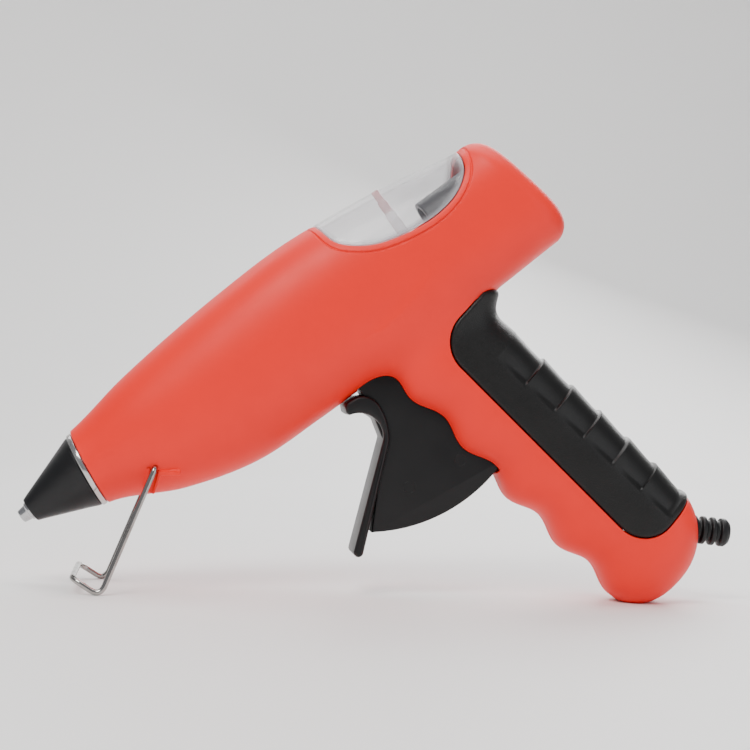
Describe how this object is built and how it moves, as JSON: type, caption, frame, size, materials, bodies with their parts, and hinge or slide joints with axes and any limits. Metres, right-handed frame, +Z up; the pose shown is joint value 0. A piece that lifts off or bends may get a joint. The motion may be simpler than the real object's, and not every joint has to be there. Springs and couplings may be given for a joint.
{
  "type": "glue gun",
  "caption": "Hot-melt glue gun for 11 mm sticks on its wire stand, with an orange-red casing, a clear feed window, a black trigger and grip pad, and no cord.",
  "frame": {"origin": "on the table, under the middle of the gun's box, with the gun standing on its wire stand and its butt", "axes": "+Z up from the table; +X from the nozzle towards the handle; +Y from the window side's near half towards the far half, across the gun"},
  "size_m": [0.2498, 0.0494, 0.1583],
  "materials": {
    "casing": "fine-grained orange-red ABS",
    "black_plastic": "satin black nylon",
    "grip": "soft black thermoplastic rubber with a leather-like grain",
    "nozzle_rubber": "black silicone rubber",
    "boot_rubber": "black PVC",
    "clear_cover": "clear polycarbonate",
    "natural_plastic": "natural phenolic and nylon",
    "dark_tube": "dark grey nylon",
    "steel": "zinc-plated steel",
    "wire": "bright nickel-plated wire",
    "collar": "polished steel",
    "aluminium": "turned aluminium",
    "cast_aluminium": "die-cast aluminium",
    "ceramic": "white ceramic heater",
    "lead_sleeve": "glass-fibre lead sleeve",
    "silicone": "red silicone"
  },
  "bodies": {
    "casing": {"left_housing": "casing", "right_housing": "casing", "window_cover": "clear_cover", "grip_pad": "grip", "rear_guide_tube": "dark_tube", "nozzle": "aluminium", "nozzle_cover": "nozzle_rubber", "front_collar": "collar", "melt_chamber": "cast_aluminium", "heater_element": "ceramic", "heater_clip": "steel", "front_support": "natural_plastic", "rear_support": "natural_plastic", "inlet_sleeve": "silicone", "sleeve_clamp": "steel", "valve_ball": "steel", "valve_spring": "steel", "trigger_pin": "steel", "trigger_spring": "steel", "strain_relief": "boot_rubber", "cord_clamp": "natural_plastic", "cord_clamp_screw_1": "steel", "cord_clamp_screw_2": "steel", "terminal_block": "natural_plastic", "heater_lead_1": "lead_sleeve", "heater_lead_2": "lead_sleeve", "housing_screw_1": "steel", "housing_screw_2": "steel", "housing_screw_3": "steel", "housing_screw_4": "steel", "housing_screw_5": "steel", "housing_screw_6": "steel", "housing_screw_7": "steel"},
    "trigger": {"trigger": "black_plastic", "feed_pin": "steel"},
    "carriage": {"feed_carriage": "casing", "clamp_lever_pin": "steel"},
    "clamp": {"clamp_lever": "steel"},
    "stand": {"wire_stand": "wire"}
  },
  "joints": [
    {"name": "trigger_pull", "type": "hinge", "parent": "casing", "child": "trigger", "pos_m": [-0.00747, 0, 0.08019], "axis": [0, -1, 0], "range_deg": [0, 28], "stiffness_Nm_per_rad": 0.3, "springref_deg": -34.38},
    {"name": "feed_slide", "type": "slide", "parent": "casing", "child": "carriage", "axis": [-0.7848, 0, -0.6198], "range_m": [0, 0.00677]},
    {"name": "clamp_tilt", "type": "hinge", "parent": "carriage", "child": "clamp", "pos_m": [-0.00726, 0, 0.10023], "axis": [0, -1, 0], "range_deg": [0, 6]},
    {"name": "stand_fold", "type": "hinge", "parent": "casing", "child": "stand", "pos_m": [-0.07863, 0, 0.04234], "axis": [0, -1, 0], "range_deg": [0, 108]}
  ],
  "couplings": [
    {"joint": "feed_slide", "follows": "trigger_pull", "m_per_rad": 0.013861},
    {"joint": "clamp_tilt", "follows": "trigger_pull", "ratio": 0.21429}
  ]
}
